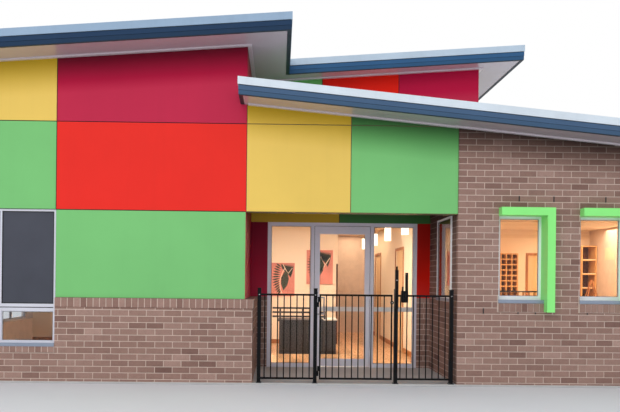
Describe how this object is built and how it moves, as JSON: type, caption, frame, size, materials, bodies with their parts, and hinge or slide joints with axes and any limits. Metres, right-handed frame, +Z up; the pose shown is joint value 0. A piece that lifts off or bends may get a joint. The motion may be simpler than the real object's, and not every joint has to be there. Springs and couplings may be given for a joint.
{
  "type": "single-storey school building",
  "caption": "Hollow school building with coloured panels, a brick wing, two skillion roofs and a recessed glazed entry behind a fence; entry door and gate swing.",
  "frame": {"origin": "ground level, in the middle of the floor slab's underside", "axes": "+X along the front to the right, +Y into the building from its front, +Z up"},
  "size_m": [14.1, 10, 5.1978],
  "materials": {
    "concrete": "smooth concrete",
    "timber": "satin boards",
    "brick": "fired clay with pale mortar",
    "frame_wall": "dark lining behind the panels",
    "soffit": "satin paint",
    "plaster": "matt paint",
    "roof_sheet": "painted steel sheet",
    "barge": "painted steel",
    "yellow": "satin panel",
    "green": "satin panel",
    "red": "satin panel",
    "crimson": "satin panel",
    "window_frame": "powder coat",
    "screen_mesh": "woven mesh",
    "shroud": "gloss powder coat",
    "glass": "clear float glass",
    "fence": "black powder coat",
    "picture": "stretched canvas",
    "desk": "dark laminate",
    "lamp": "opal glass",
    "door_metal": "anodised",
    "steel": "brushed"
  },
  "bodies": {
    "building": {"floor_slab": "concrete", "timber_floor": "timber", "brick_plinth": "brick", "brick_cappings": "brick", "left_front_wall": "frame_wall", "left_side_wall": "frame_wall", "rear_wall": "brick", "wing_front_wall": "brick", "wing_side_wall": "brick", "entry_side_wall": "brick", "entry_return_wall": "frame_wall", "entry_left_pier": "frame_wall", "entry_right_pier": "frame_wall", "set_back_wall": "frame_wall", "high_end_wall": "frame_wall", "entry_bulkhead": "frame_wall", "porch_ceiling": "soffit", "flat_ceiling": "plaster", "upper_roof": "roof_sheet", "lower_roof": "roof_sheet", "upper_soffit": "soffit", "lower_soffit": "soffit", "barge_boards": "barge", "edge_cappings": "roof_sheet", "yellow_panels": "yellow", "green_panels": "green", "red_panels": "red", "crimson_panels": "crimson", "band_window_frames": "window_frame", "insect_screens": "screen_mesh", "wing_window_frames": "window_frame", "window_shrouds": "shroud", "window_glass": "glass", "sill_flashings": "roof_sheet", "screen_frame": "window_frame", "screen_glass": "glass", "fence_posts": "fence", "fence_panels": "fence", "gate_lock": "fence", "inner_walls": "plaster", "inner_doors": "timber", "wall_pictures": "picture", "reception_desk": "desk", "pendant_lamps": "lamp", "door_hinges": "door_metal"},
    "gate": {"gate": "fence"},
    "door": {"door_leaf": "door_metal", "door_glass": "glass", "door_pull": "steel"}
  },
  "joints": [
    {"name": "gate_hinge", "type": "hinge", "parent": "building", "child": "gate", "pos_m": [-0.363, -4.46, 0.6], "axis": [0, 0, -1], "range_deg": [0, 90]},
    {"name": "door_hinge", "type": "hinge", "parent": "building", "child": "door", "pos_m": [0.571, -2.822, 1.18], "axis": [0, 0, 1], "range_deg": [0, 90]}
  ]
}
